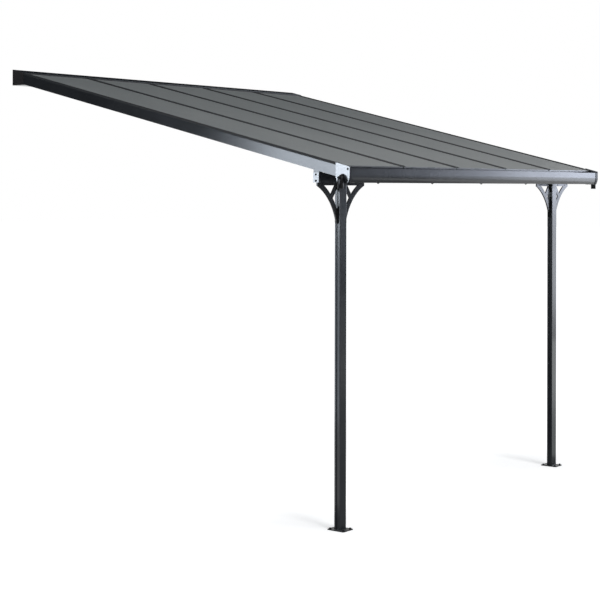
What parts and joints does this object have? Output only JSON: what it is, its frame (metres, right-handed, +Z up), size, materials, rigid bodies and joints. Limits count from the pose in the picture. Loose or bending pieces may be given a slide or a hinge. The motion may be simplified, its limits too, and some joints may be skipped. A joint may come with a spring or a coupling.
{
  "type": "wall-mounted pergola",
  "caption": "Patio cover fixed to a wall: sheet roof on sloping rafters, front gutter with outlet elbows, and a beam on braced posts.",
  "frame": {"origin": "back face of the wall profile, at the middle of its length and height", "axes": "+X along the wall, +Y out of the back face into the wall, +Z up"},
  "size_m": [3.14, 2.9525, 2.8792],
  "materials": {
    "frame": "anthracite powder coat, semi-gloss, over aluminium extrusions",
    "cover_strip": "anthracite powder coat, matt, over cover strips",
    "casting": "anthracite powder coat over a lattice casting",
    "steel": "black powder coat over steel plate",
    "sheet": "grey tinted twin-wall polycarbonate, satin",
    "clear_trim": "dark plastic channel",
    "cap_plastic": "moulded anthracite plastic, semi-gloss",
    "black_plastic": "moulded black plastic, glossy",
    "rubber": "black sealing strip"
  },
  "bodies": {
    "root": {"beam": "frame", "beam_cap_left": "cap_plastic", "beam_cap_right": "cap_plastic", "brace_left_inner": "casting", "brace_left_outer": "casting", "brace_right_inner": "casting", "brace_right_outer": "casting", "edge_trim_left": "cover_strip", "edge_trim_right": "cover_strip", "foot_left": "steel", "foot_right": "steel", "gutter": "frame", "gutter_cap_left": "cap_plastic", "gutter_cap_right": "cap_plastic", "joint_cap_1": "cover_strip", "joint_cap_2": "cover_strip", "joint_cap_3": "cover_strip", "joint_cap_4": "cover_strip", "outlets": "black_plastic", "post_left": "frame", "post_right": "frame", "rafter_1": "frame", "rafter_2": "frame", "rafter_3": "frame", "rafter_4": "frame", "rafter_left": "frame", "rafter_right": "frame", "rafter_wedges": "frame", "roof_sheet_1": "sheet", "roof_sheet_2": "sheet", "roof_sheet_3": "sheet", "roof_sheet_4": "sheet", "roof_sheet_5": "sheet", "sheet_end_trims": "clear_trim", "wall_cap_left": "black_plastic", "wall_cap_right": "black_plastic", "wall_gasket": "rubber", "wall_profile": "frame"}
  },
  "joints": []
}
